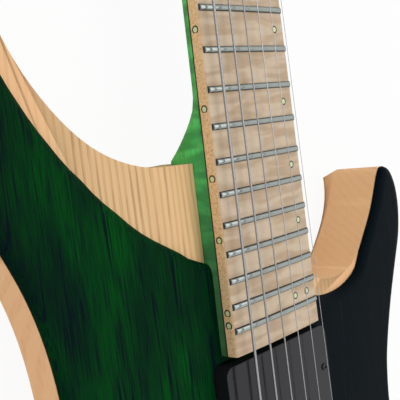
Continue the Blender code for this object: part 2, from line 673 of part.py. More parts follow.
def string_z(number, y):
    """Height of a string's centre between the first fret piece and the saddle."""
    radius = STRING_DIAMETERS[number] / 2
    at_nut = board_z(string_x(number, SCALE_LENGTH)) + FRET_HEIGHT + GAP + radius
    at_saddle = board_z(string_x(number, 0.0)) + STRING_RISE_SADDLE
    return at_nut + (at_saddle - at_nut) * (SCALE_LENGTH - y) / SCALE_LENGTH


LOCK_Y = BOARD_HEAD_Y + LOCK_SETBACK
LOCK_Z = BOARD_CROWN + FRET_HEIGHT
HEAD_TOP = BOARD_BOTTOM + HEAD_HEIGHT


def strings():
    for number in range(STRING_COUNT):
        x_nut, x_saddle = string_x(number, SCALE_LENGTH), string_x(number, 0.0)
        front = -CARRIAGE_FRONT
        hook = -CARRIAGE_FRONT - CARRIAGE_LENGTH / 2
        points = [(x_nut, LOCK_Y + 6 * MM, LOCK_Z), (x_nut, LOCK_Y - 5 * MM, LOCK_Z),
                  (x_nut, SCALE_LENGTH, string_z(number, SCALE_LENGTH)),
                  (string_x(number, SCALE_LENGTH / 2), SCALE_LENGTH / 2, string_z(number, SCALE_LENGTH / 2)),
                  (x_saddle, 0, string_z(number, 0.0)),
                  (x_saddle, front, TUNER_Z), (x_saddle, hook, TUNER_Z)]
        tube("string_%d" % (number + 1), points, STRING_DIAMETERS[number] / 2, "strings")


def headpiece():
    half = half_width(NECK_HEAD_Y)
    low = (-half, BOARD_HEAD_Y + GAP, BOARD_BOTTOM)
    item = block("headpiece", low, (half, NECK_HEAD_Y, HEAD_TOP), "hardware")
    bevel(item, 1.0 * MM)
    for number, diameter in enumerate(STRING_DIAMETERS):
        x = string_x(number, SCALE_LENGTH)
        tip = LOCK_Z + diameter / 2 + GAP
        boolean(item, block("string_tunnel_%d" % (number + 1),
                            (x - HEAD_TUNNEL / 2, BOARD_HEAD_Y - CUT_PAST, LOCK_Z - HEAD_TUNNEL / 2),
                            (x + HEAD_TUNNEL / 2, NECK_HEAD_Y + CUT_PAST, LOCK_Z + HEAD_TUNNEL / 2)))
        boolean(item, rod("lock_hole_%d" % (number + 1), (x, LOCK_Y, LOCK_Z),
                          (x, LOCK_Y, HEAD_TOP + CUT_PAST), LOCK_SHANK_RADIUS + GAP, sides=16))
        top = HEAD_TOP + GAP
        screw = turned("lock_screw_%d" % (number + 1),
                       [(0, top + LOCK_HEAD_HEIGHT - tip), (LOCK_HEAD_RADIUS - 0.4 * MM, top + LOCK_HEAD_HEIGHT - tip),
                        (LOCK_HEAD_RADIUS, top + LOCK_HEAD_HEIGHT - 0.4 * MM - tip), (LOCK_HEAD_RADIUS, top - tip),
                        (LOCK_SHANK_RADIUS, top - tip), (LOCK_SHANK_RADIUS, 0), (0, 0)],
                       (x, LOCK_Y, tip), Z_AXIS, "steel", 16)
        socket_floor = top + LOCK_HEAD_HEIGHT - 2.2 * MM
        boolean(screw, rod("lock_socket_%d" % (number + 1), (x, LOCK_Y, socket_floor),
                           (x, LOCK_Y, top + LOCK_HEAD_HEIGHT + CUT_PAST), LOCK_SOCKET_RADIUS, sides=6))


def bridge_plate():
    half = PLATE_WIDTH / 2
    low = BODY_TOP + GAP
    middle = STRING_SHIFT_SADDLE
    item = block("bridge_plate", (middle - half, -PLATE_TAIL, low), (middle + half, PLATE_FRONT, PLATE_TOP),
                 "hardware")
    overlap = 0.5 * MM
    boolean(item, block("tail_wall", (middle - half, -PLATE_TAIL, PLATE_TOP - overlap),
                        (middle + half, -PLATE_TAIL + TAIL_WALL, low + TAIL_WALL_HEIGHT)), "UNION")
    for name, side in (("bass_rail", -1), ("treble_rail", 1)):
        edges = sorted((middle + side * half, middle + side * (half - RAIL_WIDTH)))
        boolean(item, block(name, (edges[0], -PLATE_TAIL + overlap, PLATE_TOP - overlap),
                            (edges[1], PLATE_FRONT - overlap, PLATE_TOP + RAIL_HEIGHT)), "UNION")
    for number in range(STRING_COUNT - 1):
        x = (string_x(number, 0.0) + string_x(number + 1, 0.0)) / 2
        boolean(item, block("rib_%d" % (number + 1),
                            (x - RIB_WIDTH / 2, -PLATE_TAIL + overlap, PLATE_TOP - overlap),
                            (x + RIB_WIDTH / 2, PLATE_FRONT - overlap, PLATE_TOP + RIB_HEIGHT)), "UNION")
    for number in range(STRING_COUNT):
        x = string_x(number, 0.0)
        boolean(item, rod("rod_hole_%d" % (number + 1), (x, -PLATE_TAIL - CUT_PAST, TUNER_Z),
                          (x, -PLATE_TAIL + TAIL_WALL + CUT_PAST, TUNER_Z), TUNER_ROD_RADIUS + GAP, sides=16))


def saddles():
    """Saddle blocks, each under its string, at the tail end of their travel."""
    turn = Matrix(((0, 0, 1, 0), (1, 0, 0, 0), (0, 1, 0, 0), (0, 0, 0, 1)))
    half = SADDLE_LENGTH / 2
    base = PLATE_TOP + GAP
    for number in range(STRING_COUNT):
        x = string_x(number, 0.0)
        top = string_z(number, 0.0) - STRING_DIAMETERS[number] / 2 - GAP
        outline = [(-half, base), (half, base), (half, top - 3.2 * MM), (1.6 * MM, top - 0.4 * MM),
                   (0.7 * MM, top - 0.05 * MM), (-0.2 * MM, top - 0.1 * MM), (-1.0 * MM, top - 0.6 * MM),
                   (-half, top - 3.6 * MM)]
        plate("saddle_%d" % (number + 1), outline, x - BLOCK_WIDTH / 2, x + BLOCK_WIDTH / 2, "hardware",
              (x, 0, base), turn)


def carriages():
    """String carriages with their threaded rods, and the tuning knobs that pull them."""
    for number, diameter in enumerate(STRING_DIAMETERS):
        x = string_x(number, 0.0)
        front, tail = -CARRIAGE_FRONT, -CARRIAGE_FRONT - CARRIAGE_LENGTH
        low = PLATE_TOP + GAP
        item = block("string_carriage_%d" % (number + 1), (x - BLOCK_WIDTH / 2, tail, low),
                     (x + BLOCK_WIDTH / 2, front, low + CARRIAGE_HEIGHT), "hardware", (x, front, TUNER_Z))
        bevel(item, 0.5 * MM, 1)
        rod_end = tail - TUNER_ROD_LENGTH
        boolean(item, rod("carriage_rod_%d" % (number + 1), (x, tail + 3 * MM, TUNER_Z), (x, rod_end, TUNER_Z),
                          TUNER_ROD_RADIUS, sides=12), "UNION")
        boolean(item, rod("string_hole_%d" % (number + 1), (x, front + CUT_PAST, TUNER_Z),
                          (x, front - CARRIAGE_LENGTH / 2 - GAP, TUNER_Z), diameter / 2 + GAP, sides=12))
        bore = TUNER_ROD_RADIUS + GAP
        length, radius = TUNER_KNOB_LENGTH, TUNER_KNOB_RADIUS
        profile = [(0, length), (radius - 1.2 * MM, length), (radius, length - 1.2 * MM), (radius, 5.5 * MM),
                   (radius - 1.0 * MM, 4.5 * MM), (radius - 1.0 * MM, 0), (bore, 0),
                   (bore, length - TUNER_BORE_FLOOR), (0, length - TUNER_BORE_FLOOR)]
        turned("tuner_knob_%d" % (number + 1), profile, (x, -PLATE_TAIL - GAP, TUNER_Z), -Y_AXIS, "hardware", 16)


def pickups():
    for name, front in (("neck_pickup", NECK_PICKUP_FRONT), ("bridge_pickup", BRIDGE_PICKUP_FRONT)):
        half = PICKUP_WIDTH / 2
        item = plate(name, rounded_rectangle((-half, half), pickup_range(front), PICKUP_CORNER),
                     PICKUP_TOP - PICKUP_HEIGHT, PICKUP_TOP, "plastic")
        bevel(item, 0.8 * MM)


def controls():
    ceiling = CAVITY_CEILING - GAP
    for name, (x, y) in (("volume", VOLUME_PLACE), ("tone", TONE_PLACE)):
        nut_low = BODY_TOP + GAP
        nut_top = nut_low + POT_NUT_HEIGHT
        can_low = ceiling - POT_CAN_HEIGHT
        bore = SHAFT_RADIUS + GAP
        bore_floor = can_low + 3 * MM
        turned(name + "_pot", [(0, bore_floor), (bore, bore_floor), (bore, nut_top), (POT_NUT_RADIUS, nut_top),
                               (POT_NUT_RADIUS, nut_low), (POT_BUSH_RADIUS, nut_low), (POT_BUSH_RADIUS, ceiling),
                               (POT_CAN_RADIUS, ceiling), (POT_CAN_RADIUS, can_low), (0, can_low)],
               (x, y, 0), Z_AXIS, "steel")
        shaft_top = BODY_TOP + SHAFT_STAND
        rod(name + "_shaft", (x, y, bore_floor + GAP), (x, y, shaft_top), SHAFT_RADIUS, "steel", (x, y, 0), 16)
        low = nut_top + KNOB_LIFT
        top = low + KNOB_HEIGHT
        turned(name + "_knob", [(0, top), (KNOB_RADIUS - 2.2 * MM, top), (KNOB_RADIUS - 1.0 * MM, top - 0.8 * MM),
                                (KNOB_RADIUS, low + 1.0 * MM), (KNOB_RADIUS, low), (bore, low),
                                (bore, shaft_top + GAP), (0, shaft_top + GAP)],
               (x, y, 0), Z_AXIS, "hardware", 24)
    selector()
    plate("control_cover", cover_outline(GAP), COVER_RECESS, COVER_RECESS + COVER_THICKNESS, "plastic")


def selector():
    x, y = SELECTOR_PLACE
    pivot = (x, y, LEVER_PIVOT_Z)
    ceiling = CAVITY_CEILING - GAP
    half = SWITCH_WIDTH / 2
    switch = block("selector_switch", (x - half, y - SWITCH_LENGTH / 2, ceiling - SWITCH_DEPTH),
                   (x + half, y + SWITCH_LENGTH / 2, ceiling), "steel")
    across = LEVER_THICKNESS / 2 + GAP
    foot = 4.0 * MM
    reach = math.tan(LEVER_SWING) * (ceiling - LEVER_PIVOT_Z) + LEVER_WIDTH / 2 + 1.2 * MM
    boolean(switch, block("lever_slot", (x - across, y - reach, LEVER_PIVOT_Z - foot - 1.0 * MM),
                          (x + across, y + reach, ceiling + CUT_PAST)))
    boolean(switch, rod("pivot_hole", (x - half - CUT_PAST, y, LEVER_PIVOT_Z),
                        (x + half + CUT_PAST, y, LEVER_PIVOT_Z), LEVER_PIN_RADIUS + GAP, sides=16))
    lever_top = BODY_TOP + LEVER_STAND
    lever = block("selector_lever", (x - LEVER_THICKNESS / 2, y - LEVER_WIDTH / 2, LEVER_PIVOT_Z - foot),
                  (x + LEVER_THICKNESS / 2, y + LEVER_WIDTH / 2, lever_top), "steel", pivot)
    boolean(lever, rod("lever_pin", (x - half, y, LEVER_PIVOT_Z), (x + half, y, LEVER_PIVOT_Z),
                       LEVER_PIN_RADIUS, sides=16), "UNION")
    tip_low = BODY_TOP + TIP_LIFT
    tip = block("selector_tip", (x - TIP_WIDTH / 2, y - TIP_LENGTH / 2, tip_low),
                (x + TIP_WIDTH / 2, y + TIP_LENGTH / 2, tip_low + TIP_HEIGHT), "plastic", pivot)
    bevel(tip, 0.8 * MM)
    boolean(tip, block("tip_socket", (x - across, y - LEVER_WIDTH / 2 - GAP, tip_low - CUT_PAST),
                       (x + across, y + LEVER_WIDTH / 2 + GAP, lever_top + GAP)))


def jack_buttons_bolts():
    turned("output_jack", [(0, -JACK_BORE_DEPTH), (JACK_BORE, -JACK_BORE_DEPTH), (JACK_BORE, 0),
                           (JACK_FLANGE_RADIUS, 0), (JACK_FLANGE_RADIUS, -JACK_FLANGE),
                           (JACK_BARREL_RADIUS, -JACK_FLANGE), (JACK_BARREL_RADIUS, -JACK_LENGTH),
                           (0, -JACK_LENGTH)], jack_point(0), X_AXIS, "hardware", 24)
    for name, place, out in (("horn", HORN_BUTTON, Y_AXIS), ("tail", TAIL_BUTTON, -Y_AXIS)):
        length = BUTTON_LENGTH
        turned("strap_button_" + name,
               [(0, length), (BUTTON_RADIUS - 1.0 * MM, length), (BUTTON_RADIUS, length - 0.8 * MM),
                (BUTTON_RADIUS, length - 2.2 * MM), (BUTTON_WAIST, length - 4.5 * MM), (BUTTON_WAIST, 3.5 * MM),
                (BUTTON_BASE, 1.2 * MM), (BUTTON_BASE, 0), (BUTTON_SCREW_RADIUS, 0),
                (BUTTON_SCREW_RADIUS, -BUTTON_SCREW_LENGTH), (0, -BUTTON_SCREW_LENGTH)],
               Vector((*place, BUTTON_HEIGHT)) + out * GAP, out, "hardware")
    for i, (x, y) in enumerate(BOLT_PLACES):
        top = NECK_TOP - HEEL_DEPTH + BOLT_BITE
        head_top = BOLT_SINK + BOLT_HEAD_HEIGHT
        turned("neck_bolt_%d" % (i + 1), [(0, top), (BOLT_SHANK_RADIUS, top), (BOLT_SHANK_RADIUS, head_top),
                                          (BOLT_HEAD_RADIUS, head_top), (BOLT_HEAD_RADIUS, BOLT_SINK),
                                          (0, BOLT_SINK)], (x, BOARD_END_Y + y, 0), Z_AXIS, "steel", 16)


def leads():
    """Screened wires from the pickups to the volume pot, and from the tone pot to the jack."""
    lead_x = PICKUP_WIDTH / 4
    rout_end = pickup_range(NECK_PICKUP_FRONT)[0]
    x, y = VOLUME_PLACE
    side = POT_CAN_RADIUS + GAP
    turn_x = PICKUP_WIDTH / 2 - 4 * MM
    points = [(lead_x, rout_end + 20 * MM, LEAD_HEIGHT), (lead_x, BRIDGE_PICKUP_FRONT - 3 * MM, LEAD_HEIGHT),
              (lead_x + 4 * MM, BRIDGE_PICKUP_CENTRE + 4 * MM, LEAD_HEIGHT),
              (turn_x, BRIDGE_PICKUP_CENTRE, LEAD_HEIGHT), (CAVITY_X[0] - 1 * MM, BRIDGE_PICKUP_CENTRE, LEAD_HEIGHT),
              (CAVITY_X[0] + 4 * MM, BRIDGE_PICKUP_CENTRE - 4 * MM, LEAD_HEIGHT),
              (x - side - 4 * MM, y + 6 * MM, LEAD_HEIGHT), (x - side - 3 * MM, y, LEAD_HEIGHT),
              (x - side, y, LEAD_HEIGHT)]
    tube("pickup_lead", points, LEAD_RADIUS, "lead")
    x, y = TONE_PLACE
    end = jack_point(-JACK_LENGTH - GAP)
    points = [(x + side, y, LEAD_HEIGHT), (x + side + 3 * MM, y - 1 * MM, LEAD_HEIGHT),
              (CAVITY_X[1] - 2.5 * MM, end.y, end.z), (CAVITY_X[1] + 4 * MM, end.y, end.z), tuple(end)]
    tube("jack_lead", points, LEAD_RADIUS, "lead")


clear_scene()
SHARED = body_cutters()
body_core(SHARED)
body_top(SHARED)
neck()
fingerboard()
truss_rod()
headpiece()
strings()
bridge_plate()
saddles()
carriages()
pickups()
controls()
jack_buttons_bolts()
leads()
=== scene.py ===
"""Looks of the headless electric guitar, laid on its back under soft studio light."""
import json
import math

import bmesh
import bpy
from mathutils import Matrix, Vector


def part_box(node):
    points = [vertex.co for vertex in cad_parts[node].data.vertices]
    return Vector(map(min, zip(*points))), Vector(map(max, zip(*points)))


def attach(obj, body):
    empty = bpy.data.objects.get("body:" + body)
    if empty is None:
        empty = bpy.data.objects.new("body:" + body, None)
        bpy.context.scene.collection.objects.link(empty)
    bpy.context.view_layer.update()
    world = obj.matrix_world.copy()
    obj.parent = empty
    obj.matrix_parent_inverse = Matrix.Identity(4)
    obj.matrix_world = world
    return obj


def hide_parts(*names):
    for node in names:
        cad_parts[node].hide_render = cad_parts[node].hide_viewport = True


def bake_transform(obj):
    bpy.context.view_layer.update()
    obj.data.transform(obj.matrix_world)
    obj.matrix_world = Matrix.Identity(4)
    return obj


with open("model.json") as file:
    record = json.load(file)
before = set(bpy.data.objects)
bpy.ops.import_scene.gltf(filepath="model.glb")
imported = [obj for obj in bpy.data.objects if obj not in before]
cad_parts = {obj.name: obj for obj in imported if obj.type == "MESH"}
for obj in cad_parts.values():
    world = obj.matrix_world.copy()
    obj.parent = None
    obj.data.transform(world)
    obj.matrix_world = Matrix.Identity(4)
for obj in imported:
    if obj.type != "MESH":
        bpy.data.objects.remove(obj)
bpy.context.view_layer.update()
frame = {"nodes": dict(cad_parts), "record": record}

MM = 0.001

# Studio. The guitar lies on a pale floor, and the camera looks across the strings
# from the bass side, over the end of the fingerboard.
CAMERA_PLACE = (-262.16 * MM, 241.90 * MM, 250.85 * MM)
CAMERA_RIGHT = (0.65998, -0.12520, 0.74078)
CAMERA_UP = (0.14733, 0.98844, 0.03580)
CAMERA_BACK = (-0.73669, 0.08552, 0.67080)
LENS_MM = 72.15
SENSOR_MM = 36.0
FLOOR_COLOUR = (0.9, 0.9, 0.9, 1.0)
FLOOR_SIZE = 12.0
FLOOR_DROP = 0.5 * MM
# Share of the floor that the camera sees as plain white; the rest shows the shadow
FLOOR_WHITE_SHARE = 0.93
WORLD_STRENGTH = 0.5
# Softboxes: place, size in metres and watts
SOFTBOXES = {
    "overhead": ((0.25, 0.5, 1.5), 1.4, 8.0),
    "bass_side": ((-1.2, 0.9, 0.9), 1.0, 3.5),
    "tail": ((0.4, -1.1, 1.0), 0.9, 3.0),
}

scene = bpy.context.scene
scene.view_settings.view_transform = "Standard"

camera_data = bpy.data.cameras.new("camera")
camera_data.lens = LENS_MM
camera_data.sensor_width = SENSOR_MM
camera = bpy.data.objects.new("camera", camera_data)
turn = Matrix((CAMERA_RIGHT, CAMERA_UP, CAMERA_BACK)).transposed().to_4x4()
camera.matrix_world = Matrix.Translation(CAMERA_PLACE) @ turn
scene.collection.objects.link(camera)
scene.camera = camera

guitar_middle = Vector((0.0, 0.2, 0.03))
for name, (place, size, watts) in SOFTBOXES.items():
    lamp_data = bpy.data.lights.new("softbox_" + name, "AREA")
    lamp_data.size = size
    lamp_data.energy = watts
    lamp = bpy.data.objects.new("softbox_" + name, lamp_data)
    lamp.location = place
    lamp.rotation_mode = "QUATERNION"
    lamp.rotation_quaternion = (guitar_middle - Vector(place)).to_track_quat("-Z", "Y")
    scene.collection.objects.link(lamp)


def add_node(tree, kind, inputs=None, **settings):
    """Place a shader node with its settings, and set or link its inputs."""
    node = tree.nodes.new(kind)
    for name, value in settings.items():
        setattr(node, name, value)
    for key, value in (inputs or {}).items():
        if isinstance(value, bpy.types.NodeSocket):
            tree.links.new(value, node.inputs[key])
        else:
            node.inputs[key].default_value = value
    return node


world = bpy.data.worlds.new("studio")
scene.world = world
world.use_nodes = True
tree = world.node_tree
tree.nodes.clear()
path = add_node(tree, "ShaderNodeLightPath")
seen = add_node(tree, "ShaderNodeMath", {0: path.outputs["Is Camera Ray"], 1: path.outputs["Is Glossy Ray"]},
                operation="MAXIMUM")
seen = add_node(tree, "ShaderNodeMath", {0: seen.outputs[0], 1: path.outputs["Is Transmission Ray"]},
                operation="MAXIMUM")
strength = add_node(tree, "ShaderNodeMapRange",
                    {"Value": seen.outputs[0], "To Min": WORLD_STRENGTH, "To Max": 1.0})
sky = add_node(tree, "ShaderNodeBackground", {"Color": (1, 1, 1, 1), "Strength": strength.outputs[0]})
add_node(tree, "ShaderNodeOutputWorld", {"Surface": sky.outputs[0]})

floor_mesh = bpy.data.meshes.new("floor")
bm = bmesh.new()
bmesh.ops.create_grid(bm, x_segments=1, y_segments=1, size=FLOOR_SIZE / 2)
bm.to_mesh(floor_mesh)
bm.free()
floor = bpy.data.objects.new("floor", floor_mesh)
floor.location.z = -FLOOR_DROP
scene.collection.objects.link(floor)
floor_finish = bpy.data.materials.new("floor")
floor_finish.use_nodes = True
tree = floor_finish.node_tree
tree.nodes.clear()
path = add_node(tree, "ShaderNodeLightPath")
matt = add_node(tree, "ShaderNodeBsdfDiffuse", {"Color": FLOOR_COLOUR})
glow = add_node(tree, "ShaderNodeEmission", {"Color": (1, 1, 1, 1), "Strength": 1.0})
share = add_node(tree, "ShaderNodeMath", {0: path.outputs["Is Camera Ray"], 1: FLOOR_WHITE_SHARE},
                 operation="MULTIPLY")
mixed = add_node(tree, "ShaderNodeMixShader", {0: share.outputs[0], 1: matt.outputs[0], 2: glow.outputs[0]})
add_node(tree, "ShaderNodeOutputMaterial", {"Surface": mixed.outputs[0]})
floor_mesh.materials.append(floor_finish)

# Body core. A slab of natural ash with open grain, cut out for the neck, pickups and
# controls, sanded and oiled; the horns show it bare where the cap stops short.


def new_group(name, inputs, outputs):
    """Empty shader group with named number inputs and outputs."""
    group = bpy.data.node_groups.new(name, "ShaderNodeTree")
    for label, value in inputs.items():
        socket = group.interface.new_socket(label, in_out="INPUT", socket_type="NodeSocketFloat")
        socket.default_value = value
    for label in outputs:
        group.interface.new_socket(label, in_out="OUTPUT", socket_type="NodeSocketFloat")
    return group, add_node(group, "NodeGroupInput"), add_node(group, "NodeGroupOutput")


def grain_noise(tree, across, along, detail):
    """Noise drawn out along the neck: cells per millimetre across and along."""
    place = add_node(tree, "ShaderNodeTexCoord").outputs["Object"]
    drawn = add_node(tree, "ShaderNodeVectorMath", {0: place, 1: (across / MM, along / MM, across / MM)},
                     operation="MULTIPLY")
    return add_node(tree, "ShaderNodeTexNoise", {"Vector": drawn.outputs[0], "Scale": 1.0, "Detail": detail,
                                                 "Roughness": 0.6}).outputs[0]


def remap(tree, value, low, high, new_low=0.0, new_high=1.0):
    """Value eased from one range into another."""
    node = add_node(tree, "ShaderNodeMapRange", {"Value": value, "From Min": low, "From Max": high,
                                                 "To Min": new_low, "To Max": new_high},
                    interpolation_type="SMOOTHSTEP")
    return node.outputs[0]


def arithmetic(tree, operation, *values):
    """One sum on numbers or number sockets."""
    return add_node(tree, "ShaderNodeMath", dict(enumerate(values)), operation=operation).outputs[0]


# Ash grain, in millimetres: wavy growth rings, and rows of short open pores in them
RING_LEAN = 0.45
RING_WANDER = 5.0
ash_grain, entry, leave = new_group("ash_grain", {"Ring Width": 9.0}, ["Rings", "Pores", "Fibre"])
place = add_node(ash_grain, "ShaderNodeTexCoord").outputs["Object"]
split = add_node(ash_grain, "ShaderNodeSeparateXYZ", {0: place})
across = arithmetic(ash_grain, "MULTIPLY_ADD", split.outputs[2], RING_LEAN, split.outputs[0])
across = arithmetic(ash_grain, "DIVIDE", arithmetic(ash_grain, "MULTIPLY", across, 1 / MM),
                    entry.outputs["Ring Width"])
wander = arithmetic(ash_grain, "MULTIPLY", grain_noise(ash_grain, 0.016, 0.0045, 2.0), RING_WANDER)
phase = arithmetic(ash_grain, "MULTIPLY", arithmetic(ash_grain, "ADD", across, wander), 2 * math.pi)
rings = remap(ash_grain, arithmetic(ash_grain, "SINE", phase), -0.7, 1.0)
dashes = remap(ash_grain, grain_noise(ash_grain, 0.9, 0.03, 3.0), 0.5, 0.64)
pores = arithmetic(ash_grain, "MULTIPLY", dashes, remap(ash_grain, rings, 0.25, 0.9, 0.12, 1.0))
ash_grain.links.new(rings, leave.inputs["Rings"])
ash_grain.links.new(pores, leave.inputs["Pores"])
ash_grain.links.new(grain_noise(ash_grain, 2.6, 0.05, 4.0), leave.inputs["Fibre"])


def new_finish(name, roughness, metallic=0.0):
    """Material with a plain surface; its tree and surface node are returned with it."""
    material = bpy.data.materials.new(name)
    material.use_nodes = True
    surface = material.node_tree.nodes["Principled BSDF"]
    surface.inputs["Roughness"].default_value = roughness
    surface.inputs["Metallic"].default_value = metallic
    return material, material.node_tree, surface


def blend_colour(tree, share, first, second):
    """Colour between two colours or colour sockets."""
    node = add_node(tree, "ShaderNodeMix", {"Factor": share}, data_type="RGBA")
    for key, value in ((6, first), (7, second)):
        if isinstance(value, bpy.types.NodeSocket):
            tree.links.new(value, node.inputs[key])
        else:
            node.inputs[key].default_value = (*value, 1.0)
    return node.outputs[2]


def paint(tree, surface, colour):
    """Lay a colour socket on a surface."""
    tree.links.new(colour, surface.inputs["Base Color"])


def bump(tree, surface, height, distance, strength):
    """Raise a surface by a height socket."""
    node = add_node(tree, "ShaderNodeBump", {"Height": height, "Distance": distance, "Strength": strength})
    tree.links.new(node.outputs[0], surface.inputs["Normal"])


ASH_PALE = (0.88, 0.60, 0.32)
ASH_RING = (0.76, 0.41, 0.18)
ASH_PORE = (0.45, 0.26, 0.13)
# Even, orange heart wood at the outer sides of both horns, where few pores show
ASH_HEART = (0.98, 0.56, 0.29)
PORE_STRENGTH = 0.55
PORE_DEPTH = 0.12 * MM
natural_ash, tree, surface = new_finish("natural_ash", 0.55)
surface.inputs["Specular IOR Level"].default_value = 0.25
grain = add_node(tree, "ShaderNodeGroup", node_tree=ash_grain)
grain.inputs["Ring Width"].default_value = 3.2
colour = blend_colour(tree, remap(tree, grain.outputs["Rings"], 0.35, 1.0, 0.0, 0.6), ASH_PALE, ASH_RING)
split = add_node(tree, "ShaderNodeSeparateXYZ", {0: add_node(tree, "ShaderNodeTexCoord").outputs["Object"]})
treble_heart = remap(tree, split.outputs[0], 30 * MM, 75 * MM, 0.0, 0.85)
bass_heart = remap(tree, split.outputs[0], -88 * MM, -104 * MM, 0.0, 0.7)
heart = arithmetic(tree, "MAXIMUM", treble_heart, bass_heart)
colour = blend_colour(tree, heart, colour, ASH_HEART)
colour = blend_colour(tree, remap(tree, grain.outputs["Fibre"], 0.35, 0.75, 0.0, 0.25), colour, ASH_RING)
sap_share = arithmetic(tree, "MULTIPLY_ADD", heart, -PORE_STRENGTH, PORE_STRENGTH)
pores = arithmetic(tree, "MULTIPLY", grain.outputs["Pores"], sap_share)
colour = blend_colour(tree, pores, colour, ASH_PORE)
paint(tree, surface, colour)
bump(tree, surface, arithmetic(tree, "MULTIPLY", pores, -1.0), PORE_DEPTH, 0.4)


body_of_node = {}
for body_name, nodes in frame["record"]["behaviour"]["bodies"].items():
    for node in nodes:
        body_of_node[node] = body_name


def seat(name, mesh, finish, slot, body, *replaced):
    """Link a mesh as a piece that rides with a body, and may stand for solids."""
    mesh.materials.clear()
    mesh.materials.append(finish)
    piece = bpy.data.objects.new(name, mesh)
    scene.collection.objects.link(piece)
    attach(piece, body)
    if replaced:
        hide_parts(*replaced)
    return piece


def fair_copy(node, finish, slot, smooth_below=32.0):
    """Smooth-shaded copy of a structural solid, which it replaces and rides with."""
    mesh = frame["nodes"][node].data.copy()
    bm = bmesh.new()
    bm.from_mesh(mesh)
    bmesh.ops.remove_doubles(bm, verts=bm.verts, dist=0.002 * MM)
    bm.to_mesh(mesh)
    bm.free()
    mesh.shade_smooth()
    mesh.set_sharp_from_angle(angle=math.radians(smooth_below))
    piece = seat(node + "_finished", mesh, finish, slot, body_of_node[node], node)
    even = piece.modifiers.new("even_shading", "WEIGHTED_NORMAL")
    even.keep_sharp = True
    return piece


fair_copy("body_core", natural_ash, "natural_ash")

# Cap. A thin ash top glued to the core, stained green over black so that the open
# pores stay dark, with rolled edges and satin lacquer; its colour is painted darker
# with distance across the body from a bright spot on the bass side, as painted shade.
CAP_BRIGHT = (0.0004, 0.078, 0.006)
CAP_DEEP = (0.0004, 0.026, 0.006)
CAP_PAINTED_SHADE = (0.0006, 0.0035, 0.0038)
CAP_PORE = (0.0006, 0.0035, 0.009)
# Painted light: the cap is brightest at this place across the body, and painted shade grows away from it
PAINTED_LIGHT_MIDDLE_X = -55 * MM
green_ash, tree, surface = new_finish("green_stained_ash", 0.46)
surface.inputs["Specular IOR Level"].default_value = 0.025
grain = add_node(tree, "ShaderNodeGroup", node_tree=ash_grain)
grain.inputs["Ring Width"].default_value = 15.0
place = add_node(tree, "ShaderNodeTexCoord").outputs["Object"]
split = add_node(tree, "ShaderNodeSeparateXYZ", {0: place})
# Painted shade: the colour darkens towards a near-black green with distance across from the bright spot
from_painted_light = arithmetic(tree, "ABSOLUTE", arithmetic(tree, "SUBTRACT", split.outputs[0], PAINTED_LIGHT_MIDDLE_X))
painted_shade_share = remap(tree, from_painted_light, 32 * MM, 98 * MM)
clouds = remap(tree, grain_noise(tree, 0.05, 0.012, 2.0), 0.28, 0.62)
colour = blend_colour(tree, clouds, CAP_BRIGHT, CAP_DEEP)
colour = blend_colour(tree, painted_shade_share, colour, CAP_PAINTED_SHADE)
colour = blend_colour(tree, remap(tree, grain.outputs["Fibre"], 0.42, 0.62, 0.0, 0.8), colour, CAP_PORE)
colour = blend_colour(tree, arithmetic(tree, "MULTIPLY", grain.outputs["Pores"], 0.92), colour, CAP_PORE)
paint(tree, surface, colour)
bump(tree, surface, arithmetic(tree, "MULTIPLY", grain.outputs["Pores"], -1.0), PORE_DEPTH, 0.5)
fair_copy("body_top", green_ash, "green_ash", 40.0)

# Neck. One piece of curly maple, stained green and left satin, with a square heel
# that is bolted into the body's pocket.
STRIPE_CROSS_RATE = 0.045 / MM
curly_maple, entry, leave = new_group("curly_maple", {"Stripe Width": 6.0},
                                      ["Stripes", "Fibre", "Flecks"])
place = add_node(curly_maple, "ShaderNodeTexCoord").outputs["Object"]
stripe_rate = arithmetic(curly_maple, "DIVIDE", 1 / MM, entry.outputs["Stripe Width"])
rates = add_node(curly_maple, "ShaderNodeCombineXYZ",
                 {0: STRIPE_CROSS_RATE, 1: stripe_rate, 2: STRIPE_CROSS_RATE})
drawn = add_node(curly_maple, "ShaderNodeVectorMath", {0: place, 1: rates.outputs[0]},
                 operation="MULTIPLY")
stripes = add_node(curly_maple, "ShaderNodeTexNoise",
                   {"Vector": drawn.outputs[0], "Scale": 1.0, "Detail": 1.5, "Distortion": 0.5})
curly_maple.links.new(remap(curly_maple, stripes.outputs[0], 0.36, 0.64), leave.inputs["Stripes"])
curly_maple.links.new(grain_noise(curly_maple, 1.6, 0.03, 4.0), leave.inputs["Fibre"])
flecks = remap(curly_maple, grain_noise(curly_maple, 1.1, 0.45, 1.0), 0.66, 0.74)
curly_maple.links.new(flecks, leave.inputs["Flecks"])

NECK_LIGHT = (0.12, 0.70, 0.16)
NECK_DARK = (0.055, 0.36, 0.08)
NECK_DEEP = (0.010, 0.055, 0.012)
# Painted shade: the neck's colour grows darker between these two places along the heel, towards the body
NECK_SHADE_START = 246 * MM
NECK_SHADE_END = 168 * MM
green_maple, tree, surface = new_finish("green_stained_maple", 0.5)
surface.inputs["Specular IOR Level"].default_value = 0.25
figure = add_node(tree, "ShaderNodeGroup", node_tree=curly_maple)
figure.inputs["Stripe Width"].default_value = 5.5
colour = blend_colour(tree, figure.outputs["Stripes"], NECK_DARK, NECK_LIGHT)
colour = blend_colour(tree, remap(tree, figure.outputs["Fibre"], 0.4, 0.7, 0.0, 0.6), colour, NECK_DARK)
flecks = arithmetic(tree, "MULTIPLY", figure.outputs["Flecks"], 0.4)
colour = blend_colour(tree, flecks, colour, NECK_DEEP)
split = add_node(tree, "ShaderNodeSeparateXYZ", {0: add_node(tree, "ShaderNodeTexCoord").outputs["Object"]})
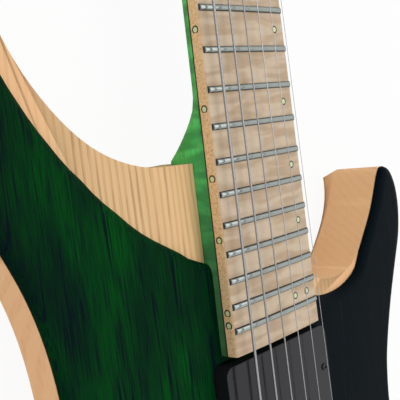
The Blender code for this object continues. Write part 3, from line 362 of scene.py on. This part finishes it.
# Painted shade: darker towards the body along the heel
shade = remap(tree, split.outputs[1], NECK_SHADE_START, NECK_SHADE_END, 0.0, 0.92)
colour = blend_colour(tree, shade, colour, NECK_DEEP)
paint(tree, surface, colour)
bump(tree, surface, figure.outputs["Fibre"], 0.02 * MM, 0.5)
fair_copy("neck", green_maple, "green_maple", 40.0)

# Fingerboard. A strip of pale curly maple with a cambered face and softened edges,
# glued on the neck with a dark line of glue.
SCALE_LENGTH = 647.7 * MM
LAST_FRET_Y = SCALE_LENGTH / 4
BOARD_RADIUS = 508.0 * MM
board_low, board_high = (Vector(corner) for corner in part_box("fingerboard"))
BOARD_BOTTOM = board_low.z
BOARD_THICKNESS = 5.7 * MM
BOARD_CROWN = BOARD_BOTTOM + BOARD_THICKNESS
EDGE_ROUND = 1.1 * MM
NUT_HALF = 21.3 * MM
LAST_FRET_HALF = 29.0 * MM


def half_width(y):
    """Half the board's width at a place along it."""
    return NUT_HALF + (LAST_FRET_HALF - NUT_HALF) * (SCALE_LENGTH - y) / (SCALE_LENGTH - LAST_FRET_Y)


def board_z(x):
    """Height of the cambered face."""
    return BOARD_CROWN - BOARD_RADIUS + math.sqrt(BOARD_RADIUS ** 2 - x ** 2)


def loft_mesh(name, rings, smooth_below=35.0):
    """Closed mesh through rings with the same number of points."""
    bm = bmesh.new()
    loops = [[bm.verts.new(point) for point in ring] for ring in rings]
    count = len(loops[0])
    for lower, upper in zip(loops, loops[1:]):
        for i in range(count):
            j = (i + 1) % count
            bm.faces.new((lower[i], lower[j], upper[j], upper[i]))
    bm.faces.new(reversed(loops[0]))
    bm.faces.new(loops[-1])
    bmesh.ops.remove_doubles(bm, verts=bm.verts, dist=0.001 * MM)
    bmesh.ops.recalc_face_normals(bm, faces=bm.faces)
    mesh = bpy.data.meshes.new(name)
    bm.to_mesh(mesh)
    bm.free()
    mesh.shade_smooth()
    mesh.set_sharp_from_angle(angle=math.radians(smooth_below))
    return mesh


def board_section(y):
    """Outline of the board, with its two upper edges rounded."""
    half = half_width(y)
    ring = [(-half, y, BOARD_BOTTOM), (half, y, BOARD_BOTTOM)]
    middle = half - EDGE_ROUND
    edge = board_z(middle) - EDGE_ROUND
    arc = [math.radians(18 * step) for step in range(6)]
    ring += [(middle + EDGE_ROUND * math.cos(a), y, edge + EDGE_ROUND * math.sin(a)) for a in arc]
    for step in range(1, 20):
        x = middle * (1 - step / 10)
        ring.append((x, y, board_z(x)))
    for a in reversed(arc):
        ring.append((-middle - EDGE_ROUND * math.cos(a), y, edge + EDGE_ROUND * math.sin(a)))
    return ring


BOARD_LIGHT = (0.71, 0.565, 0.41)
BOARD_DARK = (0.55, 0.40, 0.26)
BOARD_SIDE_PAINTED_LIGHT = (0.95, 0.66, 0.36)
BOARD_SPECK = (0.55, 0.29, 0.11)
flamed_maple, tree, surface = new_finish("flamed_maple", 0.5)
surface.inputs["Specular IOR Level"].default_value = 0.25
figure = add_node(tree, "ShaderNodeGroup", node_tree=curly_maple)
figure.inputs["Stripe Width"].default_value = 4.5
colour = blend_colour(tree, figure.outputs["Stripes"], BOARD_DARK, BOARD_LIGHT)
flecks = arithmetic(tree, "MULTIPLY", figure.outputs["Flecks"], 0.5)
colour = blend_colour(tree, flecks, colour, BOARD_DARK)
colour = blend_colour(tree, remap(tree, figure.outputs["Fibre"], 0.4, 0.8, 0.0, 0.3), colour, BOARD_DARK)
# Painted light: the board's face and sides are the same wood but get different tones, chosen by which way
# the surface faces; the side tone also carries speckles
normal = add_node(tree, "ShaderNodeNewGeometry").outputs["Normal"]
facing = add_node(tree, "ShaderNodeSeparateXYZ", {0: normal})
painted_side_share = remap(tree, arithmetic(tree, "ABSOLUTE", facing.outputs[0]), 0.75, 0.98)
side_colour_with_painted_light = blend_colour(tree, remap(tree, grain_noise(tree, 1.6, 1.1, 4.0), 0.42, 0.66, 0.0, 0.6),
                           BOARD_SIDE_PAINTED_LIGHT, BOARD_SPECK)
colour = blend_colour(tree, painted_side_share, colour, side_colour_with_painted_light)
paint(tree, surface, colour)
bump(tree, surface, figure.outputs["Fibre"], 0.02 * MM, 0.5)
board = loft_mesh("fingerboard", [board_section(board_high.y), board_section(board_low.y)])
seat("fingerboard_finished", board, flamed_maple, "flamed_maple", "root", "fingerboard")


def mottled_finish(name, roughness, first, second, across=1.5, along=1.5, detail=2.0):
    """Plain material that wanders between two near colours."""
    material, tree, surface = new_finish(name, roughness)
    paint(tree, surface, blend_colour(tree, grain_noise(tree, across, along, detail), first, second))
    return material, tree, surface


glue, tree, surface = mottled_finish("glue_line", 0.6, (0.004, 0.006, 0.004), (0.02, 0.02, 0.012), 0.5, 0.1)
GLUE_PROUD = 0.05 * MM
GLUE_RISE = 0.12 * MM
GLUE_DROP = 0.42 * MM
glue_rings = []
for y in (board_low.y - GLUE_PROUD, board_high.y + GLUE_PROUD):
    half = half_width(y) + GLUE_PROUD
    glue_rings.append([(-half, y, BOARD_BOTTOM - GLUE_DROP), (half, y, BOARD_BOTTOM - GLUE_DROP),
                       (half, y, BOARD_BOTTOM + GLUE_RISE), (-half, y, BOARD_BOTTOM + GLUE_RISE)])
seat("glue_line", loft_mesh("glue_line", glue_rings), glue, "black_plastic", "root")

# Frets. Stainless wire with a round crown, pressed across the board and dressed at
# its ends; the one in the place of the nut carries the strings too.
FRET_COUNT = 24
FRET_HALF_WIDTH = 1.3 * MM
FRET_HEIGHT = 1.1 * MM
FRET_INSET = 0.45 * MM
FRET_SINK = 0.3 * MM
FRET_STEP = 0.08 * MM
# Places along a fret as shares of its half length, and how far the crown has risen there
FRET_PROFILE = ((-1, 0.12), (-0.985, 0.62), (-0.96, 0.95), (-0.5, 1), (0, 1), (0.5, 1), (0.96, 0.95),
                (0.985, 0.62), (1, 0.12))
# Painted dark reflection on the fret flanks, and the steel's own tone on the crown
FRET_FLANK_PAINTED_DARK_REFLECTION = (0.04, 0.04, 0.04)
FRET_CROWN = (0.33, 0.36, 0.34)


def micro_texture(tree, surface, roughness, spread, size_mm, depth):
    """Uneven polish and a faint relief, as machining and handling leave."""
    noise = grain_noise(tree, 1 / size_mm, 1 / size_mm, 4.0)
    polish = remap(tree, noise, 0.3, 0.7, roughness - spread, roughness + spread)
    tree.links.new(polish, surface.inputs["Roughness"])
    bump(tree, surface, noise, depth, 0.3)


def metal_finish(name, bright, dull, roughness, spread, size_mm=2.0, metallic=1.0):
    """Metal that wanders between a bright and a dull tone, with marks of one size."""
    material, tree, surface = new_finish(name, roughness, metallic)
    noise = grain_noise(tree, 0.4 / size_mm, 0.4 / size_mm, 3.0)
    paint(tree, surface, blend_colour(tree, remap(tree, noise, 0.35, 0.65), bright, dull))
    micro_texture(tree, surface, roughness, spread, size_mm, 0.01 * MM)
    return material


# Each fret's flanks are painted near black by which way the surface faces, as a painted dark reflection, and
# its crown keeps the steel's tone
stainless, tree, surface = new_finish("stainless_fret", 0.3, 1.0)
normal = add_node(tree, "ShaderNodeNewGeometry").outputs["Normal"]
facing = add_node(tree, "ShaderNodeSeparateXYZ", {0: normal})
paint(tree, surface, blend_colour(tree, remap(tree, facing.outputs[2], 0.62, 0.98), FRET_FLANK_PAINTED_DARK_REFLECTION, FRET_CROWN))
micro_texture(tree, surface, 0.3, 0.05, 1.2, 0.004 * MM)
for number in range(FRET_COUNT + 1):
    y = SCALE_LENGTH / 2 ** (number / 12)
    half = half_width(y) - FRET_INSET
    rings = []
    for share, rise in FRET_PROFILE:
        x = half * share
        foot, base = board_z(x) - FRET_SINK, board_z(x) + FRET_STEP
        ring = [(x, y - FRET_HALF_WIDTH, foot), (x, y - FRET_HALF_WIDTH, base)]
        for step in range(1, 8):
            angle = math.pi * step / 8
            crown = (FRET_HEIGHT - FRET_STEP) * rise * math.sin(angle) ** 0.8
            ring.append((x, y - FRET_HALF_WIDTH * math.cos(angle) * 0.96, base + crown))
        ring += [(x, y + FRET_HALF_WIDTH, base), (x, y + FRET_HALF_WIDTH, foot)]
        rings.append(ring)
    seat("fret_%02d" % number, loft_mesh("fret", rings, 50.0), stainless, "steel", "root")

# Position dots. Glow-green plugs in black rings, let into the side of the board
# and, near its treble edge, into the face.
DOT_SIDES = 24
DOT_RADIUS = 1.6 * MM
DOT_CENTRE = 1.08 * MM
DOT_PROUD = 0.04 * MM
DOT_SINK = 0.5 * MM
DOT_GAP = 0.02 * MM
DOT_FLOOR = 0.005 * MM
SIDE_DOT_DROP = 2.66 * MM
# Least radius of a ring, so that a turned solid closes at its axis
TIP_RADIUS = 0.002 * MM
FACE_DOT_INSET = 6.8 * MM
SINGLE_DOTS = (3, 5, 7, 9, 15, 17, 19, 21)
DOUBLE_DOTS = (12, 24)
SIDE_PAIR_SPREAD = 2.5 * MM
FACE_PAIR_INSETS = (7.3 * MM, 16.2 * MM)
# Slope of the board's side, which widens towards the body
SIDE_TAPER = 0.0158
dot_green, tree, surface = mottled_finish("dot_green", 0.35, (0.68, 0.76, 0.40), (0.76, 0.84, 0.48))
dot_black, tree, surface = mottled_finish("dot_ring", 0.4, (0.002, 0.003, 0.002), (0.008, 0.008, 0.008))


def turned_mesh(name, profile, place, axis, sides):
    """Turned solid from radius and height pairs along an axis."""
    turn = Vector((0, 0, 1)).rotation_difference(Vector(axis)).to_matrix()
    rings = []
    for radius, height in profile:
        radius = max(radius, TIP_RADIUS)
        ring = []
        for i in range(sides):
            angle = 2 * math.pi * i / sides
            point = Vector((radius * math.cos(angle), radius * math.sin(angle), height))
            ring.append(Vector(place) + turn @ point)
        rings.append(ring)
    return loft_mesh(name, rings)


def set_dot(name, place, axis):
    """Black cup let into the wood, with a green plug in it."""
    ring = [(0, -DOT_SINK), (DOT_RADIUS, -DOT_SINK), (DOT_RADIUS, DOT_PROUD), (DOT_CENTRE, DOT_PROUD),
            (DOT_CENTRE, 0.0), (0, 0.0)]
    plug = DOT_CENTRE - DOT_GAP
    centre = [(0, DOT_FLOOR), (plug, DOT_FLOOR), (plug, DOT_PROUD), (0, DOT_PROUD + DOT_GAP)]
    seat(name + "_ring", turned_mesh(name, ring, place, axis, DOT_SIDES), dot_black, "black_plastic", "root")
    seat(name, turned_mesh(name, centre, place, axis, DOT_SIDES), dot_green, "black_plastic", "root")


for number in SINGLE_DOTS + DOUBLE_DOTS:
    y = (SCALE_LENGTH / 2 ** (number / 12) + SCALE_LENGTH / 2 ** ((number - 1) / 12)) / 2
    doubled = number in DOUBLE_DOTS
    for i, shift in enumerate((-SIDE_PAIR_SPREAD, SIDE_PAIR_SPREAD) if doubled else (0.0,)):
        side_y = y + shift
        half = half_width(side_y)
        drop = board_z(half - EDGE_ROUND) - SIDE_DOT_DROP
        set_dot("side_dot_%02d_%d" % (number, i), (-half, side_y, drop), (-1.0, -SIDE_TAPER, 0.0))
    for i, inset in enumerate(FACE_PAIR_INSETS if doubled else (FACE_DOT_INSET,)):
        x = half_width(y) - inset
        set_dot("face_dot_%02d_%d" % (number, i), (x, y, board_z(x)), (x / BOARD_RADIUS, 0.0, 1.0))

# Strings. Three plain and three wound steel strings, from their locks at the head
# over the first fret and the saddles to the carriages of the bridge.
STRING_DIAMETERS = (0.25 * MM, 0.33 * MM, 0.43 * MM, 0.66 * MM, 0.91 * MM, 1.17 * MM)
PLAIN_STRINGS = 3
SPREAD_AT_NUT = 35.2 * MM
SPREAD_AT_SADDLE = 52.8 * MM
SADDLE_SHIFT = 0.7 * MM
SADDLE_RISE = 5.1 * MM
STRING_CLEARANCE = 0.3 * MM
# A string leaves the first fret by the first length, and lies level from the second
NUT_RUN_OFF = 1.5 * MM
LOCK_START = 8 * MM
# Behind its saddle a string bends down to its carriage
BEND_Y = -1.2 * MM
BEND_DROP = 0.25 * MM
CARRIAGE_FRONT = -18.5 * MM
CARRIAGE_MIDDLE = 3.6 * MM
WINDING_SCALE = 650.0
WINDING_DEPTH = 0.05 * MM
plain_steel = metal_finish("plain_string", (0.42, 0.42, 0.44), (0.34, 0.34, 0.36), 0.3, 0.05)
wound_steel, tree, surface = new_finish("wound_string", 0.3, 1.0)
place = add_node(tree, "ShaderNodeTexCoord").outputs["Object"]
# Painted shade: the wound strings turn dark in bands between the turns of the winding, besides the bump
turns = add_node(tree, "ShaderNodeTexWave", {"Vector": place, "Scale": WINDING_SCALE}, bands_direction="Y")
paint(tree, surface, blend_colour(tree, turns.outputs["Fac"], (0.16, 0.16, 0.17), (0.42, 0.42, 0.42)))
bump(tree, surface, turns.outputs["Fac"], WINDING_DEPTH, 0.6)


def string_x(number, y):
    """Place of a string across the board, at a place along it."""
    step = 0.5 - number / 5
    at_nut, at_saddle = SPREAD_AT_NUT * step, SPREAD_AT_SADDLE * step + SADDLE_SHIFT
    return at_nut + (at_saddle - at_nut) * (SCALE_LENGTH - y) / SCALE_LENGTH


def string_z(number, y):
    """Height of a string's middle, at a place along the board."""
    fret_top = board_z(string_x(number, SCALE_LENGTH)) + FRET_HEIGHT
    at_nut = fret_top + STRING_CLEARANCE + STRING_DIAMETERS[number] / 2
    at_saddle = board_z(string_x(number, 0.0)) + SADDLE_RISE
    return at_nut + (at_saddle - at_nut) * (SCALE_LENGTH - y) / SCALE_LENGTH


for number, diameter in enumerate(STRING_DIAMETERS):
    node = "string_%d" % (number + 1)
    low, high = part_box(node)
    tuner_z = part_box("string_carriage_%d" % (number + 1))[0][2] + CARRIAGE_MIDDLE
    x_nut, x_saddle = string_x(number, SCALE_LENGTH), string_x(number, 0.0)
    lock_z = BOARD_CROWN + FRET_HEIGHT
    stops = [(high[1], x_nut, lock_z), (SCALE_LENGTH + LOCK_START, x_nut, lock_z),
             (SCALE_LENGTH + NUT_RUN_OFF, x_nut, string_z(number, SCALE_LENGTH)),
             (SCALE_LENGTH, x_nut, string_z(number, SCALE_LENGTH))]
    for step in range(1, 16):
        y = SCALE_LENGTH * (1 - step / 16)
        stops.append((y, string_x(number, y), string_z(number, y)))
    bend_z = string_z(number, 0.0) - BEND_DROP
    stops += [(0.0, x_saddle, string_z(number, 0.0)), (BEND_Y, x_saddle, bend_z)]
    for step in range(1, 8):
        share = step / 7
        y = BEND_Y + (CARRIAGE_FRONT - BEND_Y) * share
        stops.append((y, x_saddle, bend_z + (tuner_z - bend_z) * share))
    stops.append((low[1], x_saddle, tuner_z))
    rings = []
    for y, x, z in stops:
        ring = []
        for i in range(12):
            angle = math.pi * i / 6
            ring.append((x + diameter / 2 * math.cos(angle), y, z + diameter / 2 * math.sin(angle)))
        rings.append(ring)
    piece = bpy.data.objects.new("steel_" + node, loft_mesh(node, rings, 60.0))
    piece.data.materials.append(plain_steel if number < PLAIN_STRINGS else wound_steel)
    scene.collection.objects.link(piece)
    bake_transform(piece)
    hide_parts(node)

# Metalwork. Headpiece, bridge plate, saddles and carriages are milled from aluminium,
# anodised satin black and screwed down; the shafts, bolts and pots are of bare steel,
# and the truss rod's nut is turned from brass.
black_metal = metal_finish("black_anodised", (0.022, 0.022, 0.025), (0.035, 0.035, 0.038), 0.36, 0.06,
                           1.5, 0.75)
machined_steel = metal_finish("machined_steel", (0.56, 0.56, 0.58), (0.42, 0.42, 0.44), 0.3, 0.07)
turned_brass = metal_finish("turned_brass", (0.72, 0.5, 0.2), (0.6, 0.4, 0.16), 0.3, 0.06)
for node in ("headpiece", "bridge_plate", "output_jack", "strap_button_horn", "strap_button_tail"):
    fair_copy(node, black_metal, "black_metal")
for number in range(1, 7):
    fair_copy("saddle_%d" % number, black_metal, "black_metal")
    fair_copy("string_carriage_%d" % number, black_metal, "black_metal")
    fair_copy("lock_screw_%d" % number, machined_steel, "steel")
for node in ("truss_rod", "volume_shaft", "tone_shaft", "selector_lever", "selector_switch",
             "neck_bolt_1", "neck_bolt_2", "neck_bolt_3", "neck_bolt_4"):
    fair_copy(node, machined_steel, "steel")
# Smoothing angle in degrees that keeps the flats of the pots' nuts
FLAT_SIDED = 12.0
for node in ("volume_pot", "tone_pot"):
    fair_copy(node, machined_steel, "steel", FLAT_SIDED)
fair_copy("truss_rod_nut", turned_brass, "brass")

# Tuning knobs and control knobs. Turned from bar, with a straight knurl cut round
# the grip and a small chamfer at each end, then anodised black.
TUNER_TEETH = 24
TUNER_KNURL = 0.35 * MM
CONTROL_TEETH = 36
CONTROL_KNURL = 0.4 * MM
# Rows of a knob in millimetres: radius, height, and 1 where it is knurled
TUNER_ROWS = ((0, 15.0, 0), (1.7, 15.0, 0), (1.7, 0, 0), (3.6, 0, 0), (3.7, 0.1, 0), (3.7, 4.6, 0),
              (4.4, 5.3, 0), (4.69, 5.7, 0), (4.69, 6.2, 0), (4.69, 6.3, 1), (4.69, 14.2, 1),
              (4.69, 14.3, 0), (4.69, 14.9, 0), (4.3, 15.6, 0), (3.6, 16.0, 0), (2.4, 16.0, 0),
              (2.2, 15.8, 0), (0, 15.8, 0))
CONTROL_ROWS = ((0, 9.3, 0), (3.3, 9.3, 0), (3.3, 0, 0), (9.3, 0, 0), (9.5, 0.2, 0), (9.5, 1.6, 0),
                (9.35, 1.8, 0), (9.3, 2.0, 1), (8.7, 12.8, 1), (8.65, 12.9, 0), (8.6, 14.0, 0),
                (8.1, 14.7, 0), (7.3, 15.0, 0), (6.4, 15.0, 0), (6.1, 14.7, 0), (0, 14.6, 0))
# White line on a control knob
LINE_HALF_WIDTH = 0.4 * MM
LINE_START = 1 * MM
LINE_END = 6 * MM
LINE_HEIGHT = 14.55 * MM
LINE_THICKNESS = 0.15 * MM


def knurled_mesh(name, profile, place, axis, teeth, depth):
    """Turned solid whose marked rings have teeth: radius, height and 1 where it is knurled."""
    turn = Vector((0, 0, 1)).rotation_difference(Vector(axis)).to_matrix()
    rings = []
    for radius, height, knurl in profile:
        ring = []
        for i in range(4 * teeth):
            angle = math.pi * i / (2 * teeth)
            cut = depth * knurl if i % 4 in (2, 3) else 0.0
            reach = max(radius - cut, TIP_RADIUS)
            point = Vector((reach * math.cos(angle), reach * math.sin(angle), height))
            ring.append(Vector(place) + turn @ point)
        rings.append(ring)
    return loft_mesh(name, rings, 30.0)


for number in range(1, 7):
    node = "tuner_knob_%d" % number
    low, high = (Vector(corner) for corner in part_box(node))
    place = ((low.x + high.x) / 2, high.y, (low.z + high.z) / 2)
    profile = [(radius * MM, height * MM, knurl) for radius, height, knurl in TUNER_ROWS]
    grip = knurled_mesh(node, profile, place, (0, -1, 0), TUNER_TEETH, TUNER_KNURL)
    seat("knurled_" + node, grip, black_metal, "black_metal", node, node)

index_white, tree, surface = mottled_finish("index_line", 0.45, (0.72, 0.72, 0.7), (0.8, 0.8, 0.78),
                                            1.0, 1.0)
for name in ("volume", "tone"):
    low, high = (Vector(corner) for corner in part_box(name + "_knob"))
    x, y, base = (low.x + high.x) / 2, (low.y + high.y) / 2, low.z
    profile = [(radius * MM, height * MM, knurl) for radius, height, knurl in CONTROL_ROWS]
    grip = knurled_mesh(name, profile, (x, y, base), (0, 0, 1), CONTROL_TEETH, CONTROL_KNURL)
    seat("knurled_%s_knob" % name, grip, black_metal, "black_metal", name + "_control", name + "_knob")
    left, right = x - LINE_HALF_WIDTH, x + LINE_HALF_WIDTH
    start, end = y + LINE_START, y + LINE_END
    rings = []
    for z in (base + LINE_HEIGHT, base + LINE_HEIGHT + LINE_THICKNESS):
        rings.append([(left, start, z), (right, start, z), (right, end, z), (left, end, z)])
    line = loft_mesh("index_line", rings)
    seat(name + "_index_line", line, index_white, "black_plastic", name + "_control")

# Black plastic. Pickup covers are moulded and polished over their sealed coils; the
# cavity cover and the selector's tip are moulded with a fine satin texture.
gloss_black, tree, surface = mottled_finish("pickup_gloss_black", 0.12, (0.008, 0.008, 0.010),
                                            (0.014, 0.014, 0.018), 0.2, 0.2)
surface.inputs["Specular IOR Level"].default_value = 0.3
micro_texture(tree, surface, 0.12, 0.03, 6.0, 0.01 * MM)
satin_black, tree, surface = mottled_finish("moulded_satin_black", 0.42, (0.014, 0.014, 0.016),
                                            (0.022, 0.022, 0.025), 0.6, 0.6, 3.0)
micro_texture(tree, surface, 0.42, 0.06, 0.35, 0.03 * MM)
jacket, tree, surface = mottled_finish("lead_jacket", 0.55, (0.02, 0.02, 0.02), (0.035, 0.035, 0.035),
                                       1.5, 0.2, 3.0)
for node in ("neck_pickup", "bridge_pickup"):
    fair_copy(node, gloss_black, "black_plastic")
for node in ("selector_tip", "control_cover"):
    fair_copy(node, satin_black, "black_plastic")
for node in ("pickup_lead", "jack_lead"):
    fair_copy(node, jacket, "lead_jacket", 60.0)

# Small screws. Button heads with a hexagon socket hold the pickups, the bridge plate
# and the cavity cover; each is turned from steel, and the pickups' are blackened.
PICKUP_SCREW_INSET = 4 * MM
COVER_SCREW_INSET = 5 * MM
BRIDGE_SCREW_Y = -9.3 * MM
BRIDGE_SCREW_LANES = (0, 2, 3, 5)
PLATE_BELOW_SADDLE = 0.3 * MM
SCREW_SINK = 0.02 * MM
# Radius and height of each head
PICKUP_HEAD = (1.7 * MM, 0.9 * MM)
BRIDGE_HEAD = (2.2 * MM, 1.4 * MM)
COVER_HEAD = (1.9 * MM, 0.18 * MM)


def hexagon_radius(angle, radius):
    """Reach of a hexagon at an angle, from the radius of its corners."""
    return radius * math.cos(math.pi / 6) / math.cos(angle % (math.pi / 3) - math.pi / 6)


def button_screw(name, place, axis, head, finish=machined_steel):
    """Button head with a hexagon socket, standing on its seat."""
    radius, height = head
    turn = Vector((0, 0, 1)).rotation_difference(Vector(axis)).to_matrix()
    socket = radius * 0.5
    rows = [(radius * 0.96, 0, 0), (radius, height * 0.15, 0), (radius * 0.97, height * 0.45, 0),
            (radius * 0.86, height * 0.8, 0), (radius * 0.7, height, 0), (socket, height, 1),
            (socket, height * 0.35, 1), (socket * 0.1, height * 0.3, 1)]
    rings = []
    for reach, level, six_sided in rows:
        ring = []
        for i in range(36):
            angle = math.pi * i / 18
            r = hexagon_radius(angle, reach) if six_sided else reach
            ring.append(Vector(place) + turn @ Vector((r * math.cos(angle), r * math.sin(angle), level)))
        rings.append(ring)
    seat(name, loft_mesh(name, rings), finish, "steel", "root")


for node in ("neck_pickup", "bridge_pickup"):
    low, high = (Vector(corner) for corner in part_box(node))
    for i, x in enumerate((low.x + PICKUP_SCREW_INSET, high.x - PICKUP_SCREW_INSET)):
        place = (x, (low.y + high.y) / 2, high.z - SCREW_SINK)
        button_screw("%s_screw_%d" % (node, i + 1), place, (0, 0, 1), PICKUP_HEAD, black_metal)
plate_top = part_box("saddle_1")[0][2] - PLATE_BELOW_SADDLE
for i, lane in enumerate(BRIDGE_SCREW_LANES):
    place = (string_x(lane, 0.0), BRIDGE_SCREW_Y, plate_top)
    button_screw("bridge_screw_%d" % (i + 1), place, (0, 0, 1), BRIDGE_HEAD)
low, high = (Vector(corner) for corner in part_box("control_cover"))
left, right = low.x + COVER_SCREW_INSET, high.x - COVER_SCREW_INSET
near, far = low.y + COVER_SCREW_INSET, high.y - COVER_SCREW_INSET
for i, (x, y) in enumerate(((left, near), (right, near), (left, far), (right, far))):
    button_screw("cover_screw_%d" % (i + 1), (x, y, low.z + SCREW_SINK), (0, 0, -1), COVER_HEAD)
